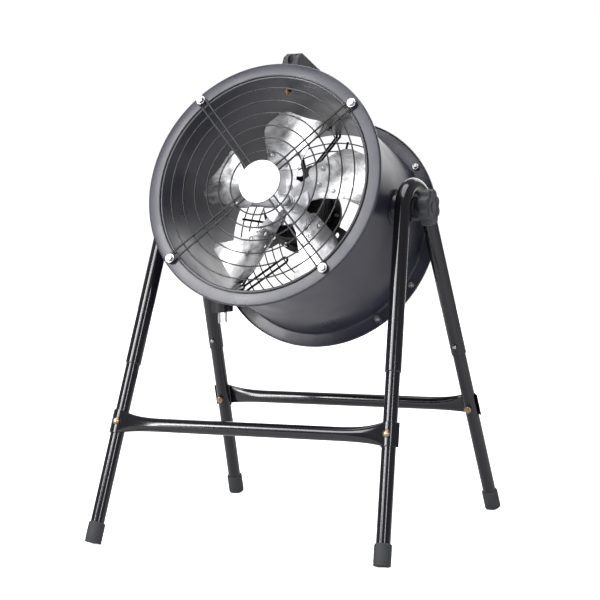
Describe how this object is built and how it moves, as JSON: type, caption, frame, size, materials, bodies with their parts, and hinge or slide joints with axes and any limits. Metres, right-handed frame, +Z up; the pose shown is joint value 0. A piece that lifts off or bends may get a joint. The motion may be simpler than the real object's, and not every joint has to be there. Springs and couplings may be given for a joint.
{
  "type": "portable duct fan",
  "caption": "Portable axial duct fan: a flanged drum with wire guards and a riveted blade wheel, tilting between two knobs in a tubular arch stand.",
  "frame": {"origin": "centre of the stand's footprint on the floor", "axes": "+Z up, -Y out of the front guard, +X to the right seen from the front"},
  "size_m": [0.5204, 0.526, 0.7746],
  "materials": {
    "drum_paint": "satin",
    "guard_paint": "satin",
    "stand_paint": "gloss",
    "motor_paint": "satin",
    "badge_white": "plain, nothing printed on it",
    "grey_plastic": "fine texture",
    "black_plastic": "matte",
    "zinc": "bright zinc",
    "yellow_zinc": "yellow zinc",
    "cast_aluminium": "as cast",
    "polished_aluminium": "polished",
    "steel": "machined",
    "laminations": "stacked sheet",
    "copper": "enamelled wire",
    "fibre": "plain",
    "rubber": "matte",
    "cord_rubber": "satin"
  },
  "bodies": {
    "stand": {"left_arch": "stand_paint", "right_arch": "stand_paint", "gusset_plates": "stand_paint", "friction_washers": "fibre", "lower_leg_front_left": "stand_paint", "lower_leg_front_right": "stand_paint", "lower_leg_rear_left": "stand_paint", "lower_leg_rear_right": "stand_paint", "rubber_feet": "rubber", "front_crossbar": "stand_paint", "rear_crossbar": "stand_paint", "crossbar_fasteners": "yellow_zinc", "spring_clips": "zinc"},
    "fan_head": {"casing_drum": "drum_paint", "pivot_studs": "drum_paint", "front_guard": "guard_paint", "front_badge": "badge_white", "guard_bolts": "zinc", "guard_nuts": "zinc", "rear_guard": "guard_paint", "rear_rings": "guard_paint", "carry_handle": "grey_plastic", "handle_fasteners": "yellow_zinc", "terminal_box": "black_plastic", "terminal_box_lid": "black_plastic", "terminal_box_screws": "zinc", "run_capacitor": "cast_aluminium", "cable_gland": "black_plastic", "motor_lead": "cord_rubber", "cord_lead": "cord_rubber", "cord_coil": "cord_rubber", "cord_tail": "cord_rubber", "coil_tie": "black_plastic", "plug_body": "cord_rubber", "plug_contacts": "zinc", "motor_housing": "motor_paint", "motor_front_shield": "motor_paint", "motor_rear_shield": "motor_paint", "stator_core": "laminations", "stator_windings": "copper", "motor_bearings": "steel", "motor_bracket": "motor_paint", "bracket_screws": "zinc"},
    "impeller": {"impeller_shaft": "steel", "rotor_core": "laminations", "impeller_hub": "cast_aluminium", "hub_nut": "zinc", "blade_1": "polished_aluminium", "blade_2": "polished_aluminium", "blade_3": "polished_aluminium", "blade_4": "polished_aluminium", "blade_5": "polished_aluminium", "blade_rivets": "zinc"},
    "right_knob": {"right_knob": "grey_plastic"},
    "left_knob": {"left_knob": "grey_plastic"},
    "button_front_left": {"button_front_left": "zinc"},
    "button_front_right": {"button_front_right": "zinc"},
    "button_rear_left": {"button_rear_left": "zinc"},
    "button_rear_right": {"button_rear_right": "zinc"}
  },
  "joints": [
    {"name": "head_tilt", "type": "hinge", "parent": "stand", "child": "fan_head", "pos_m": [0, 0, 0.523], "axis": [1, 0, 0], "range_deg": [-70, 110]},
    {"name": "impeller_spin", "type": "hinge", "parent": "fan_head", "child": "impeller", "pos_m": [0, 0, 0.523], "axis": [0, -0.9426, 0.3338], "continuous": true},
    {"name": "right_knob_turn", "type": "hinge", "parent": "fan_head", "child": "right_knob", "pos_m": [0.222, 0, 0.523], "axis": [1, 0, 0], "range_deg": [0, 360]},
    {"name": "left_knob_turn", "type": "hinge", "parent": "fan_head", "child": "left_knob", "pos_m": [-0.222, 0, 0.523], "axis": [-1, 0, 0], "range_deg": [0, 360]},
    {"name": "press_front_left", "type": "slide", "parent": "stand", "child": "button_front_left", "axis": [0.0265, -0.9344, 0.3553], "range_m": [0, 0.0052], "stiffness_N_per_m": 800, "springref_m": -0.004},
    {"name": "press_front_right", "type": "slide", "parent": "stand", "child": "button_front_right", "axis": [-0.0265, -0.9344, 0.3553], "range_m": [0, 0.0052], "stiffness_N_per_m": 800, "springref_m": -0.004},
    {"name": "press_rear_left", "type": "slide", "parent": "stand", "child": "button_rear_left", "axis": [0.0265, 0.9344, 0.3553], "range_m": [0, 0.0052], "stiffness_N_per_m": 800, "springref_m": -0.004},
    {"name": "press_rear_right", "type": "slide", "parent": "stand", "child": "button_rear_right", "axis": [-0.0265, 0.9344, 0.3553], "range_m": [0, 0.0052], "stiffness_N_per_m": 800, "springref_m": -0.004}
  ]
}
